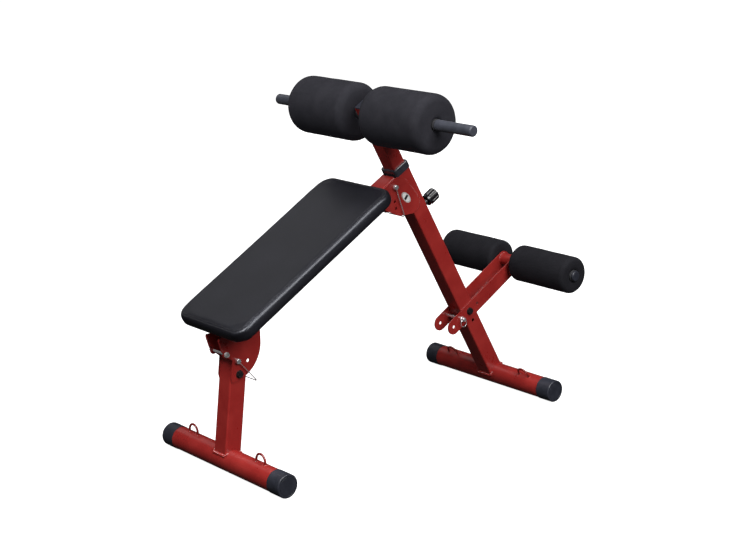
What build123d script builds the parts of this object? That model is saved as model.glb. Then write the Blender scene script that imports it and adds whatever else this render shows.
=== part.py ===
from build123d import *
import os
from math import atan2, cos, degrees, radians, sin, tan

# Roman chair: a folding bench with a sit-up board, an adjustable thigh bar and a tilting ankle bar.
# Millimetres, +Z up, X across the bench, +Y towards the ankle rollers.
# The origin lies on the floor under the middle of the whole bench.

# ------------------------------------------------------------------ driving dimensions
base_length = 955.5         # front foot axis to rear foot axis
front_y = -524.0            # front foot axis
rear_y = front_y + base_length
post_lean = 28.6            # main post from the vertical, its top towards the front
leg_lean = 8.0              # front leg from the vertical, its top towards the rear

plate = 3.0                 # every steel side plate
sliver = 0.4                # clearance a side between a folding tube and its plates

foot_length = 500.0         # cap to cap
foot_r = 30.0
foot_wall = 2.0
cap_r = 31.0
cap_length = 46.0
cap_end = 4.0
hook_x = 144.0              # band hooks, from the middle of a foot
hook_wire_r = 3.0
hook_bend_r = 18.0
hook_stem = 5.0             # straight part of a hook above the foot
rear_hook_tilt = 30.0       # the rear hooks lean to the front

post_size = 50.8
post_wall = 2.0
post_corner = 4.0
post_top = 760.0            # along the post from the rear foot axis
slide_size = 44.0
slide_wall = 2.0
slide_corner = 3.5
slide_bottom = 478.0
slide_top = 962.0
collar_wall = 1.1           # liner between the post and the sliding tube
collar_height = 21.0
collar_rim = 2.8            # how far the collar stands out from the post

hole_pitch = 35.0
knob_up = 605.0             # height adjuster, along the post
pin_travel = 8.0

bar_r = 12.7
grip_r = 14.4
thigh_bar_up = 931.7        # along the post
thigh_bar_half = 385.0
thigh_foam_r = 77.8
thigh_foam = {"left": (36.0, 260.0), "right": (31.0, 255.0)}  # inner and outer ends
ankle_back = 222.0          # ankle bar, behind the post axis
ankle_up = 245.0
ankle_bar_half = 250.0
ankle_foam_r = 52.2
ankle_foam = {"left": (32.0, 241.0), "right": (38.0, 247.0)}
core_r = 15.5
turning_gap = 0.05

lever_half_height = 22.0
lever_inner = 25.8          # half the gap between the lever's plates
lever_front = -2 * hole_pitch
pin_hole_r = 4.75
stop_pin_r = 4.5

bolt_r = 4.95
bolt_hole_r = 5.0
lock_pin_r = 4.55
lock_hole_r = 4.6
bail_wire_r = 1.25
bail_seat = 3.0             # how near the pin's axis the wire starts, in the pin's head

board_tube = 50.0
board_tube_mid = 726.0      # along the post
board_tube_back = -33.0     # behind the post axis; the board runs square to the post
board_tube_front = -672.0
board_pivot = (-99.0, 724.0)
board_lock = (-47.0, 729.0)
ply_bottom = 757.0
ply_thickness = 15.0
ply_inset = 24.0
pad_top = 802.0
pad_front = -706.0
pad_back = -119.0
pad_half = 138.0
pad_corner = 42.0

leg_width = 49.2
leg_depth = 50.0
leg_pivot_z = 257.0
leg_lock = (27.0, 293.0)    # from the front foot axis, height above the floor
spacer = (-5.0, 316.5)
spacer_r = 3.45
sector_centre = (12.0, 330.0)
sector_r = 90.0

# ------------------------------------------------------------------ frames of reference
post_up = Vector(0, -sin(radians(post_lean)), cos(radians(post_lean)))
post_back = Vector(0, cos(radians(post_lean)), sin(radians(post_lean)))
leg_up = Vector(0, sin(radians(leg_lean)), cos(radians(leg_lean)))
leg_back = Vector(0, cos(radians(leg_lean)), -sin(radians(leg_lean)))
rear_axis = Vector(0, rear_y, cap_r)
front_axis = Vector(0, front_y, cap_r)
across = Vector(1, 0, 0)


def post_point(back, up, x=0.0):
    """A point given square to the post and along it."""
    return rear_axis + across * x + post_back * back + post_up * up


def post_side(x=0.0):
    """Side view of the post: local X runs to the back of it, local Y up along it."""
    return Plane(origin=post_point(0, 0, x), x_dir=post_back, z_dir=across)


def post_cross(up, back=0.0):
    """Section across the post: local X across the bench, local Y to the back."""
    return Plane(origin=post_point(back, up), x_dir=across, z_dir=post_up)


def front_side(x=0.0):
    """Side view at the front foot: local X along the bench, local Y up from the floor."""
    return Plane(origin=(x, front_y, 0), x_dir=(0, 1, 0), z_dir=across)


def leg_cross(up):
    """Section across the front leg."""
    return Plane(origin=front_axis + leg_up * up, x_dir=across, z_dir=leg_up)


def leg_side(x=0.0):
    """Side view of the leg: local X to the back of it, local Y up along it."""
    return Plane(origin=front_axis + across * x, x_dir=leg_back, z_dir=across)


def radial(centre):
    """Plane through a cross axis: local X along the axis, local Y straight up from it."""
    return Plane(origin=centre, x_dir=across, z_dir=(0, -1, 0))


def keep(builder, name):
    """Labels a finished piece and writes it."""
    builder.part.label = name
    export_step(builder.part, f"parts/{name}.step")


def tube_section(width, depth, wall, corner):
    """Square tube section, drawn in the sketch that is open."""
    RectangleRounded(width, depth, corner)
    RectangleRounded(width - 2 * wall, depth - 2 * wall, corner - wall / 2, mode=Mode.SUBTRACT)


os.makedirs("parts", exist_ok=True)
sides = (("left", -1), ("right", 1))

board_pivot_point = post_point(*board_pivot)
board_lock_point = post_point(*board_lock)
lever_pivot_point = post_point(0, ankle_up)
stop_pin_point = post_point(-hole_pitch, ankle_up)
ankle_axis = post_point(ankle_back, ankle_up)
thigh_axis = post_point(0, thigh_bar_up)
leg_pivot_y = (leg_pivot_z - cap_r) * tan(radians(leg_lean))
leg_pivot_up = (leg_pivot_z - cap_r) / cos(radians(leg_lean))
leg_pivot_point = Vector(0, front_y + leg_pivot_y, leg_pivot_z)
leg_lock_point = Vector(0, front_y + leg_lock[0], leg_lock[1])

# ------------------------------------------------------------------ feet
for end, axis in (("front", front_axis), ("rear", rear_axis)):
    tilt = rear_hook_tilt if end == "rear" else 0.0
    foot_side = Plane(origin=axis, x_dir=(0, 1, 0), z_dir=across)

    with BuildPart() as foot_tube:
        with BuildSketch(foot_side):
            Circle(foot_r)
            Circle(foot_r - foot_wall, mode=Mode.SUBTRACT)
        extrude(amount=foot_length / 2 - cap_end, both=True)
    keep(foot_tube, f"{end}_foot_tube")

    for side, sign in sides:
        mouth = sign * (foot_length / 2 - cap_length)
        with BuildPart() as foot_cap:
            with BuildSketch(foot_side.offset(mouth)):
                Circle(cap_r)
            extrude(amount=sign * cap_length)
            fillet(foot_cap.edges().sort_by(Axis.X)[-1 if sign > 0 else 0], 3.0)
            with BuildSketch(foot_side.offset(mouth)):
                Circle(foot_r)
            extrude(amount=sign * (cap_length - cap_end), mode=Mode.SUBTRACT)
            with BuildSketch(foot_side.offset(sign * foot_length / 2)):
                Circle(cap_r - 6.0)
                Circle(cap_r - 7.5, mode=Mode.SUBTRACT)
            extrude(amount=-sign * 0.6, mode=Mode.SUBTRACT)
        keep(foot_cap, f"{end}_foot_cap_{side}")

        hook_out = Vector(0, -sin(radians(tilt)), cos(radians(tilt)))
        hook_plane = Plane(origin=axis + across * sign * hook_x, x_dir=across, z_dir=across.cross(hook_out))
        stem_top = foot_r + 1.0 + hook_stem
        with BuildPart() as hook:
            with BuildLine(hook_plane) as hook_wire:
                stem = Line((-hook_bend_r, foot_r - 4.0), (-hook_bend_r, stem_top))
                bend = CenterArc((0, stem_top), hook_bend_r, 0, 180)
                Line((hook_bend_r, stem_top), (hook_bend_r, foot_r - 4.0))
            with BuildSketch(Plane(origin=stem @ 0, z_dir=hook_out)):
                Circle(hook_wire_r)
            sweep(path=hook_wire.wire())
            with BuildSketch(foot_side.offset(sign * hook_x)):
                Circle(foot_r)
            extrude(amount=2 * hook_bend_r, both=True, mode=Mode.SUBTRACT)
        keep(hook, f"{end}_band_hook_{side}")

# ------------------------------------------------------------------ main post
wall_middle = (post_size - post_wall) / 2
barrel_r = 9.0
with BuildPart() as main_post:
    with BuildSketch(post_cross(0)):
        tube_section(post_size, post_size, post_wall, post_corner)
    extrude(amount=post_top)
    with BuildSketch(Plane(origin=rear_axis, x_dir=(0, 1, 0), z_dir=across)):
        Circle(foot_r)
    extrude(amount=post_size, both=True, mode=Mode.SUBTRACT)
    with BuildSketch(post_side()):
        with Locations((0, ankle_up), (0, ankle_up - hole_pitch)):
            Circle(bolt_hole_r)
    extrude(amount=post_size, both=True, mode=Mode.SUBTRACT)
    with BuildSketch(Plane(origin=post_point(wall_middle, knob_up), x_dir=across, z_dir=post_back)):
        Circle(barrel_r)
    extrude(amount=2 * post_wall, both=True, mode=Mode.SUBTRACT)
keep(main_post, "main_post")

# Ears that carry the board: nose round the pivot, sloping chin, heel welded down the post's side.
ear_nose_r = 23.0
ear_top = board_pivot[1] + ear_nose_r
for side, sign in sides:
    with BuildPart() as ear:
        with BuildSketch(post_side(sign * post_size / 2)):
            with BuildLine():
                chin = Line((-74, 652), (-100.5, 688.5))
                Polyline((-74, 652), (-56, 641), (-29, 626))
                ThreePointArc((-29, 626), (-4, 630), (9, 648))
                Polyline((9, 648), (2, 696), (-8, 734), (-27, ear_top))
                top = Line((-27, ear_top), (board_pivot[0], ear_top))
                TangentArc(top @ 1, (-119.6, 717.8), tangent=(-1, 0))
                Line((-119.6, 717.8), chin @ 1)
            make_face()
            with Locations((-66, 694), (-72, 676)):
                Circle(pin_hole_r - 1.0, mode=Mode.SUBTRACT)
            with Locations(board_pivot):
                Circle(bolt_hole_r, mode=Mode.SUBTRACT)
            with Locations(board_lock):
                Circle(lock_hole_r, mode=Mode.SUBTRACT)
        extrude(amount=sign * plate)
    keep(ear, f"board_ear_{side}")

with BuildPart() as badge:
    with BuildSketch(post_side(post_size / 2 + plate)):
        with Locations((-28, 680)):
            Ellipse(13.5, 21.0, rotation=18)
    extrude(amount=0.3)
keep(badge, "badge")

collar_outer = post_size + 2 * collar_rim
collar_skirt = post_top - 15.5
with BuildPart() as post_collar:
    with BuildSketch(post_cross(collar_skirt)):
        RectangleRounded(collar_outer, collar_outer, post_corner + collar_rim)
    extrude(amount=collar_height)
    chamfer(post_collar.faces().sort_by(Axis((0, 0, 0), post_up))[-1].outer_wire().edges(), 1.2)
    with BuildSketch(post_cross(collar_skirt)):
        RectangleRounded(post_size, post_size, post_corner)
    extrude(amount=post_top - collar_skirt, mode=Mode.SUBTRACT)
    with BuildSketch(post_cross(post_top - 45.0)):
        RectangleRounded(post_size - 2 * post_wall, post_size - 2 * post_wall, post_corner - post_wall / 2)
    extrude(amount=45.0)
    with BuildSketch(post_cross(post_top - 45.0)):
        RectangleRounded(slide_size + 0.6, slide_size + 0.6, slide_corner)
    extrude(amount=70.0, mode=Mode.SUBTRACT)
keep(post_collar, "post_collar")

# ------------------------------------------------------------------ height adjuster
barrel_in = post_size / 2 - post_wall
barrel_out = 42.0
pin_r = 4.95
pin_tip = slide_size / 2 + 0.4
spring_from = 34.1
spring_to = 39.9
knob_base = 45.5
knob_length = 35.0
knob_r = 18.0


def adjuster_plane(back):
    """Section across the adjuster pin, at a distance behind the post axis."""
    return Plane(origin=post_point(back, knob_up), x_dir=across, z_dir=post_back)


with BuildPart() as knob_barrel:
    with BuildSketch(adjuster_plane(barrel_in)):
        Circle(barrel_r)
    extrude(amount=barrel_out - barrel_in)
    with BuildSketch(adjuster_plane(barrel_in)):
        Circle(6.0)
    extrude(amount=barrel_out - 2.0 - barrel_in, mode=Mode.SUBTRACT)
    with BuildSketch(adjuster_plane(barrel_in)):
        Circle(4.05)
    extrude(amount=barrel_out, mode=Mode.SUBTRACT)
    with BuildSketch(adjuster_plane(post_size / 2)):
        RegularPolygon(12.5, 6)
        Circle(barrel_r, mode=Mode.SUBTRACT)
    extrude(amount=7.0)
keep(knob_barrel, "knob_barrel")

with BuildPart() as plunger:
    for radius, start, stop in ((pin_r, pin_tip, 32.0), (5.8, 32.0, 34.0), (4.0, 34.0, 74.0)):
        with BuildSketch(adjuster_plane(start)):
            Circle(radius)
        extrude(amount=stop - start)
    chamfer(plunger.faces().sort_by(Axis((0, 0, 0), post_back))[0].edges(), 1.0)
keep(plunger, "knob_plunger")

spring_wire_r = 0.5
spring_mean_r = 5.0
with BuildPart() as knob_spring:
    with BuildLine() as coil:
        coil_height = spring_to - spring_from - 2 * spring_wire_r
        coil_base = post_point(spring_from + spring_wire_r, knob_up)
        Helix(pitch=1.2, height=coil_height, radius=spring_mean_r, center=coil_base, direction=post_back)
    with BuildSketch(Plane(origin=coil.line @ 0, z_dir=coil.line % 0)):
        Circle(spring_wire_r)
    sweep(path=coil.line, is_frenet=True)
keep(knob_spring, "knob_spring")

flutes = 10
with BuildPart() as knob:
    with BuildSketch(adjuster_plane(knob_base)):
        Circle(knob_r - 2.0)
    extrude(amount=12.0)
    with BuildSketch(adjuster_plane(knob_base + 8.0)):
        Circle(knob_r)
        with PolarLocations(knob_r + 2.3, flutes):
            Circle(4.0, mode=Mode.SUBTRACT)
    extrude(amount=knob_length - 8.0)
    fillet(knob.faces().sort_by(Axis((0, 0, 0), post_back))[-1].edges(), 1.6)
    with BuildSketch(adjuster_plane(knob_base)):
        Circle(barrel_r + 1.0)
    extrude(amount=barrel_out + pin_travel + 1.0 - knob_base + 5.0, mode=Mode.SUBTRACT)
    with BuildSketch(adjuster_plane(knob_base)):
        Circle(4.0)
    extrude(amount=74.0 - knob_base, mode=Mode.SUBTRACT)
keep(knob, "height_knob")

with BuildPart() as slide_tube:
    with BuildSketch(post_cross(slide_bottom)):
        tube_section(slide_size, slide_size, slide_wall, slide_corner)
    extrude(amount=slide_top - slide_bottom)
    hole_heights = [knob_up + step * hole_pitch for step in range(-3, 3)]
    for up in hole_heights:
        with BuildSketch(Plane(origin=post_point(slide_size / 2 - slide_wall, up), x_dir=across, z_dir=post_back)):
            Circle(pin_r + 0.3)
        extrude(amount=2 * slide_wall, both=True, mode=Mode.SUBTRACT)
    with BuildSketch(post_side()):
        with Locations((0, thigh_bar_up)):
            Circle(bar_r)
    extrude(amount=slide_size, both=True, mode=Mode.SUBTRACT)
keep(slide_tube, "height_tube")

with BuildPart() as slide_cap:
    with BuildSketch(post_cross(slide_top)):
        RectangleRounded(slide_size, slide_size, slide_corner)
    extrude(amount=plate)
    chamfer(slide_cap.faces().sort_by(Axis((0, 0, 0), post_up))[-1].edges(), 1.0)
    with BuildSketch(post_cross(slide_top - 9.0)):
        inner = slide_size - 2 * slide_wall
        RectangleRounded(inner, inner, slide_corner - slide_wall / 2)
        RectangleRounded(inner - 4, inner - 4, slide_corner - slide_wall / 2, mode=Mode.SUBTRACT)
    extrude(amount=9.0)
keep(slide_cap, "height_tube_cap")


# ------------------------------------------------------------------ bars, rollers and grips
def side_view(centre, x=0.0):
    """Plane square to a cross axis, at a distance along it."""
    return Plane(origin=centre + across * x, x_dir=(0, 1, 0), z_dir=across)


for bar_name, centre, half, wall in (("thigh_bar", thigh_axis, thigh_bar_half - 3.0, 2.0),
                                     ("ankle_bar", ankle_axis, ankle_bar_half, 2.0)):
    with BuildPart() as bar:
        with BuildSketch(side_view(centre)):
            Circle(bar_r)
            Circle(bar_r - wall, mode=Mode.SUBTRACT)
        extrude(amount=half, both=True)
    keep(bar, bar_name)

foam_corner = {"thigh": 22.0, "ankle": 12.0}
for set_name, centre, ends, foam_r in (("thigh", thigh_axis, thigh_foam, thigh_foam_r),
                                       ("ankle", ankle_axis, ankle_foam, ankle_foam_r)):
    for side, sign in sides:
        inner_end, outer_end = (sign * end for end in ends[side])
        with BuildPart() as core:
            with BuildSketch(side_view(centre, inner_end)):
                Circle(core_r)
                Circle(bar_r + turning_gap, mode=Mode.SUBTRACT)
            extrude(amount=outer_end - inner_end)
        keep(core, f"{set_name}_roller_core_{side}")

        with BuildPart() as foam:
            with BuildSketch(side_view(centre, inner_end)):
                Circle(foam_r)
            extrude(amount=outer_end - inner_end)
            fillet(foam.edges().filter_by(GeomType.CIRCLE), foam_corner[set_name])
            with BuildSketch(side_view(centre, inner_end)):
                Circle(core_r)
            extrude(amount=outer_end - inner_end, mode=Mode.SUBTRACT)
        keep(foam, f"{set_name}_roller_{side}")

for side, sign in sides:
    grip_from = thigh_foam[side][1] + 2.5
    with BuildPart() as grip:
        with BuildSketch(side_view(thigh_axis, sign * grip_from)):
            Circle(grip_r)
        extrude(amount=sign * (thigh_bar_half - grip_from))
        fillet(grip.edges().sort_by(Axis.X)[-1 if sign > 0 else 0], 4.0)
        with BuildSketch(side_view(thigh_axis, sign * grip_from)):
            Circle(bar_r)
        extrude(amount=sign * (thigh_bar_half - 3.0 - grip_from), mode=Mode.SUBTRACT)
    keep(grip, f"bar_grip_{side}")

    with BuildPart() as plug:
        with BuildSketch(side_view(ankle_axis, sign * ankle_bar_half)):
            Circle(grip_r)
        extrude(amount=sign * 5.0)
        fillet(plug.edges().sort_by(Axis.X)[-1 if sign > 0 else 0], 3.5)
        with BuildSketch(side_view(ankle_axis, sign * ankle_bar_half)):
            Circle(bar_r - 2.0)
        extrude(amount=-sign * 18.0)
    keep(plug, f"ankle_bar_plug_{side}")

# ------------------------------------------------------------------ ankle lever
for side, sign in sides:
    with BuildPart() as lever_plate:
        with BuildSketch(post_side(sign * lever_inner)):
            with Locations(((lever_front + ankle_back) / 2, ankle_up)):
                SlotCenterToCenter(ankle_back - lever_front, 2 * lever_half_height)
            with Locations((0, ankle_up)):
                Circle(bolt_hole_r, mode=Mode.SUBTRACT)
            with Locations(*[(step * hole_pitch, ankle_up) for step in (-2, -1, 1)]):
                Circle(pin_hole_r, mode=Mode.SUBTRACT)
            with Locations((ankle_back, ankle_up)):
                Circle(bar_r, mode=Mode.SUBTRACT)
        extrude(amount=sign * plate)
    keep(lever_plate, f"lever_plate_{side}")

sleeve_r = 17.0
web_front = post_size / 2 + sliver
web_back = ankle_back - sleeve_r - 4.0
with BuildPart() as lever_web:
    with BuildSketch(post_cross(ankle_up - lever_half_height, (web_front + web_back) / 2)):
        Rectangle(2 * lever_inner, web_back - web_front)
    extrude(amount=plate)
keep(lever_web, "lever_web")

with BuildPart() as lever_sleeve:
    with BuildSketch(side_view(ankle_axis)):
        Circle(sleeve_r)
        Circle(bar_r, mode=Mode.SUBTRACT)
    extrude(amount=lever_inner, both=True)
keep(lever_sleeve, "lever_sleeve")

# Stop pin: a loose pin in front of the post, with a pull ring hanging through its head.
ring_hole_r = 2.6
ring_x = 36.5
ring_mean_r = 11.0
ring_wire_r = 1.0
ring_rise = 0.9
with BuildPart() as stop_pin:
    with BuildSketch(side_view(stop_pin_point, -34.0)):
        Circle(stop_pin_r)
    extrude(amount=64.0)
    chamfer(stop_pin.edges().sort_by(Axis.X)[0], 1.5)
    with BuildSketch(side_view(stop_pin_point, lever_inner + plate + 0.6)):
        Circle(8.0)
    extrude(amount=2.4)
    with BuildSketch(side_view(stop_pin_point, lever_inner + plate + 3.0)):
        Circle(6.0)
    extrude(amount=9.2)
    fillet(stop_pin.edges().sort_by(Axis.X)[-1], 1.5)
    with BuildSketch(Plane(origin=stop_pin_point + across * ring_x, z_dir=(0, 1, 0))):
        Circle(ring_hole_r)
    extrude(amount=10.0, both=True, mode=Mode.SUBTRACT)
keep(stop_pin, "lever_stop_pin")

ring_centre = stop_pin_point + across * ring_x + Vector(0, 0, ring_rise - ring_mean_r)
with BuildPart() as pull_ring:
    with BuildSketch(radial(ring_centre)):
        with Locations((0, ring_mean_r)):
            Circle(ring_wire_r)
    revolve(axis=Axis(ring_centre, (1, 0, 0)))
keep(pull_ring, "stop_pin_ring")

# ------------------------------------------------------------------ board
# The lock pin's hole runs out along its arc about the pivot, so the board can fold past the pin.
slot_half = 5.1
with BuildPart() as board_frame:
    with BuildSketch(Plane(origin=post_point(board_tube_front, board_tube_mid), x_dir=across, z_dir=post_back)):
        tube_section(board_tube, board_tube, 2.0, 4.0)
    extrude(amount=board_tube_back - board_tube_front)
    with BuildSketch(post_side()):
        with Locations(board_pivot):
            Circle(bolt_hole_r)
    extrude(amount=board_tube, both=True, mode=Mode.SUBTRACT)
    lock_back = board_lock[0] - board_pivot[0]
    lock_up = board_lock[1] - board_pivot[1]
    lock_reach = (lock_back ** 2 + lock_up ** 2) ** 0.5
    lock_angle = degrees(atan2(lock_up, lock_back))
    lock_swing = -50.0 - lock_angle
    with BuildSketch(post_side()):
        with BuildLine():
            outer = CenterArc(board_pivot, lock_reach + slot_half, lock_angle, lock_swing)
            inner = CenterArc(board_pivot, lock_reach - slot_half, lock_angle, lock_swing)
            CenterArc(board_lock, slot_half, lock_angle, 180)
            Line(outer @ 1, inner @ 1)
        make_face()
    extrude(amount=board_tube, both=True, mode=Mode.SUBTRACT)
keep(board_frame, "board_tube")

with BuildPart() as board_plug:
    with BuildSketch(Plane(origin=post_point(board_tube_front, board_tube_mid), x_dir=across, z_dir=post_back)):
        RectangleRounded(board_tube, board_tube, 4.0)
    extrude(amount=-plate)
    with BuildSketch(Plane(origin=post_point(board_tube_front, board_tube_mid), x_dir=across, z_dir=post_back)):
        RectangleRounded(board_tube - 4.0, board_tube - 4.0, 3.0)
        RectangleRounded(board_tube - 9.0, board_tube - 9.0, 3.0, mode=Mode.SUBTRACT)
    extrude(amount=14.0)
keep(board_plug, "board_tube_plug")

bracket_backs = (-570.0, -235.0)
bracket_half = 92.0
bracket_depth = 40.0
tube_top = board_tube_mid + board_tube / 2
with BuildPart() as pad_brackets:
    for back in bracket_backs:
        with BuildSketch(post_cross(tube_top, back)):
            RectangleRounded(2 * bracket_half, bracket_depth, 8.0)
            with GridLocations(2 * bracket_half - 36.0, 0, 2, 1):
                Circle(4.2, mode=Mode.SUBTRACT)
        extrude(amount=ply_bottom - tube_top)
keep(pad_brackets, "pad_brackets")

with BuildPart() as pad_bolts:
    for back in bracket_backs:
        with BuildSketch(post_cross(tube_top, back)):
            with GridLocations(2 * bracket_half - 36.0, 0, 2, 1):
                RegularPolygon(7.5, 6)
        extrude(amount=-5.3)
        with BuildSketch(post_cross(tube_top, back)):
            with GridLocations(2 * bracket_half - 36.0, 0, 2, 1):
                Circle(4.0)
        extrude(amount=ply_bottom - tube_top + ply_thickness - 1.0)
keep(pad_bolts, "pad_bolts")

pad_mid = (pad_front + pad_back) / 2
pad_length = pad_back - pad_front
with BuildPart() as pad_board:
    with BuildSketch(post_cross(ply_bottom, pad_mid)):
        RectangleRounded(2 * (pad_half - ply_inset), pad_length - 2 * ply_inset, pad_corner - ply_inset)
    extrude(amount=ply_thickness)
    for back in bracket_backs:
        with BuildSketch(post_cross(ply_bottom, back)):
            with GridLocations(2 * bracket_half - 36.0, 0, 2, 1):
                Circle(4.0)
        extrude(amount=ply_thickness - 1.0, mode=Mode.SUBTRACT)
keep(pad_board, "pad_board")

with BuildPart() as pad:
    with BuildSketch(post_cross(ply_bottom + ply_thickness, pad_mid)):
        RectangleRounded(2 * pad_half, pad_length, pad_corner)
    extrude(amount=pad_top - ply_bottom - ply_thickness)
    fillet(pad.faces().sort_by(Axis((0, 0, 0), post_up))[-1].edges(), 10.0)
keep(pad, "pad")

# ------------------------------------------------------------------ sector plates between board and leg
board_rise = tan(radians(post_lean))
tube_top_front = post_point(0, tube_top - 0.5)
board_line_z = tube_top_front.Z + (front_y - tube_top_front.Y) * board_rise
leg_front_z = leg_depth / 2 / cos(radians(leg_lean))


def board_line(y):
    """Height of the plates' upper edge, just under the top of the board tube."""
    return board_line_z + y * board_rise


def leg_front(z):
    """Front face of the leg, from the front foot axis, at a height above the floor."""
    return (z - cap_r) * tan(radians(leg_lean)) - leg_front_z


plate_front = (-25.5, 363.0)
plate_shoulder = -4.3
for side, sign in sides:
    with BuildPart() as sector:
        with BuildSketch(front_side(sign * board_tube / 2)):
            with BuildLine():
                nose_in = (spacer[0] - 8.6, spacer[1] + 4.6)
                nose_out = (spacer[0] + 5.5, spacer[1] - 8.0)
                Line(plate_front, nose_in)
                ThreePointArc(nose_in, (spacer[0] - 5.8, spacer[1] - 7.8), nose_out)
                Line(nose_out, (leg_front(297.0), 297.0))
                Line((leg_front(297.0), 297.0), (leg_front(252.0), 252.0))
                Line((leg_front(252.0), 252.0), (8.0, sector_centre[1] - sector_r))
                Line((8.0, sector_centre[1] - sector_r), (sector_centre[0], sector_centre[1] - sector_r))
                CenterArc(sector_centre, sector_r, -90, 90)
                right = sector_centre[0] + sector_r
                Line((right, sector_centre[1]), (right, board_line(right)))
                Polyline((right, board_line(right)), (plate_shoulder, board_line(plate_shoulder)), plate_front)
            make_face()
            with Locations((leg_pivot_y, leg_pivot_z)):
                Circle(bolt_hole_r, mode=Mode.SUBTRACT)
            with Locations(spacer):
                Circle(spacer_r + 0.05, mode=Mode.SUBTRACT)
            with Locations(leg_lock):
                Circle(lock_hole_r, mode=Mode.SUBTRACT)
            with Locations((60.0, 286.5)):
                Circle(pin_hole_r, mode=Mode.SUBTRACT)
        extrude(amount=sign * plate)
    keep(sector, f"sector_plate_{side}")

# ------------------------------------------------------------------ front leg
horn_top = leg_pivot_up + 39.0
horn_back = -14.9
crown_r = 31.5
with BuildPart() as leg_tube:
    with BuildSketch(leg_cross(0)):
        tube_section(leg_width, leg_depth, 2.0, 4.0)
    extrude(amount=horn_top)
    with BuildSketch(Plane(origin=front_axis, x_dir=(0, 1, 0), z_dir=across)):
        Circle(foot_r)
    extrude(amount=leg_width, both=True, mode=Mode.SUBTRACT)
    with BuildSketch(leg_side()):
        with Locations((horn_back + 30.0, leg_pivot_up + 30.0)):
            Rectangle(60.0, 60.0)
        with Locations((0, leg_pivot_up)):
            Circle(crown_r, mode=Mode.SUBTRACT)
            Circle(bolt_hole_r)
    extrude(amount=leg_width, both=True, mode=Mode.SUBTRACT)
keep(leg_tube, "leg_tube")


# ------------------------------------------------------------------ bolts and nuts
def hex_bolt(centre, half_grip, shank_end, radius=bolt_r):
    """Hex bolt along X with its head on the right, added to the open part."""
    size = radius / bolt_r
    with BuildSketch(side_view(centre, half_grip)) as head:
        RegularPolygon(9.2 * size, 6)
    extrude(head.sketch, amount=6.4)
    with BuildSketch(side_view(centre, shank_end)) as shank:
        Circle(radius)
    extrude(shank.sketch, amount=half_grip - shank_end)
    with BuildSketch(side_view(centre, half_grip)) as washer:
        Circle(10.5 * size)
    extrude(washer.sketch, amount=1.6)


def lock_nut(centre, face, radius=bolt_r):
    """Locking nut along X on the left, on its washer, added to the open part."""
    size = radius / bolt_r
    for ring_r, start, length in ((10.5 * size, face, 1.6), (7.6 * size, face - 8.0, 4.0)):
        with BuildSketch(side_view(centre, start)) as ring:
            Circle(ring_r)
            Circle(radius, mode=Mode.SUBTRACT)
        extrude(ring.sketch, amount=-length if start == face else length)
    with BuildSketch(side_view(centre, face - 1.6)) as body:
        RegularPolygon(9.2 * size, 6)
        Circle(radius, mode=Mode.SUBTRACT)
    extrude(body.sketch, amount=-6.4)


ear_outer = post_size / 2 + plate
lever_outer = lever_inner + plate
sector_outer = board_tube / 2 + plate
with BuildPart() as frame_bolts:
    hex_bolt(board_pivot_point, ear_outer, -ear_outer - 11.5)
    hex_bolt(lever_pivot_point, lever_outer, -lever_outer - 11.5)
keep(frame_bolts, "pivot_bolts")

with BuildPart() as frame_nuts:
    lock_nut(board_pivot_point, -ear_outer)
    lock_nut(lever_pivot_point, -lever_outer)
keep(frame_nuts, "pivot_nuts")

spacer_point = Vector(0, front_y + spacer[0], spacer[1])
for bolt_name, centre, shank_r in (("leg_pivot", leg_pivot_point, bolt_r), ("spacer", spacer_point, spacer_r)):
    with BuildPart() as leg_bolt:
        hex_bolt(centre, sector_outer, -sector_outer - 11.5, shank_r)
    keep(leg_bolt, f"{bolt_name}_bolt")

    with BuildPart() as leg_nut:
        lock_nut(centre, -sector_outer, shank_r)
    keep(leg_nut, f"{bolt_name}_nut")

# ------------------------------------------------------------------ wire-lock pins
board_bail_way = Vector(0, 0.33, -0.944).normalized()
leg_bail_way = Vector(0, 0.65, -0.76).normalized()
for lock_name, centre, outer, way, drop in (
    ("board_lock", board_lock_point, ear_outer, board_bail_way, 90.0),
    ("leg_lock", leg_lock_point, sector_outer, leg_bail_way, 86.0),
):
    head_x = outer + 1.0
    tip_x = -outer - 14.0
    near_x = head_x + 4.0
    far_x = tip_x + 4.0
    with BuildPart() as lock_pin:
        with BuildSketch(side_view(centre, tip_x)):
            Circle(lock_pin_r)
        extrude(amount=head_x - tip_x)
        chamfer(lock_pin.edges().sort_by(Axis.X)[0], 1.5)
        with BuildSketch(side_view(centre, head_x)):
            Circle(7.0)
        extrude(amount=8.0)
        fillet(lock_pin.edges().sort_by(Axis.X)[-1], 2.0)
        for hole_x in (near_x, far_x):
            with BuildSketch(Plane(origin=centre + across * hole_x + way * bail_seat, z_dir=way)):
                Circle(bail_wire_r)
            extrude(amount=10.0, mode=Mode.SUBTRACT)
    keep(lock_pin, f"{lock_name}_pin")

    bail_plane = Plane(origin=centre, x_dir=across, z_dir=across.cross(way))
    with BuildPart() as bail:
        with BuildLine(bail_plane) as bail_wire:
            FilletPolyline((near_x, bail_seat), (near_x, drop), (far_x, drop), (far_x, bail_seat), radius=9.0)
        with BuildSketch(Plane(origin=bail_wire.line @ 0, z_dir=bail_wire.line % 0)):
            Circle(bail_wire_r)
        sweep(path=bail_wire.line)
    keep(bail, f"{lock_name}_bail")
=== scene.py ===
from math import cos, exp, pi, radians, sin, sqrt

import bpy
from mathutils import Matrix, Vector, noise
from mathutils.bvhtree import BVHTree


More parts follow.
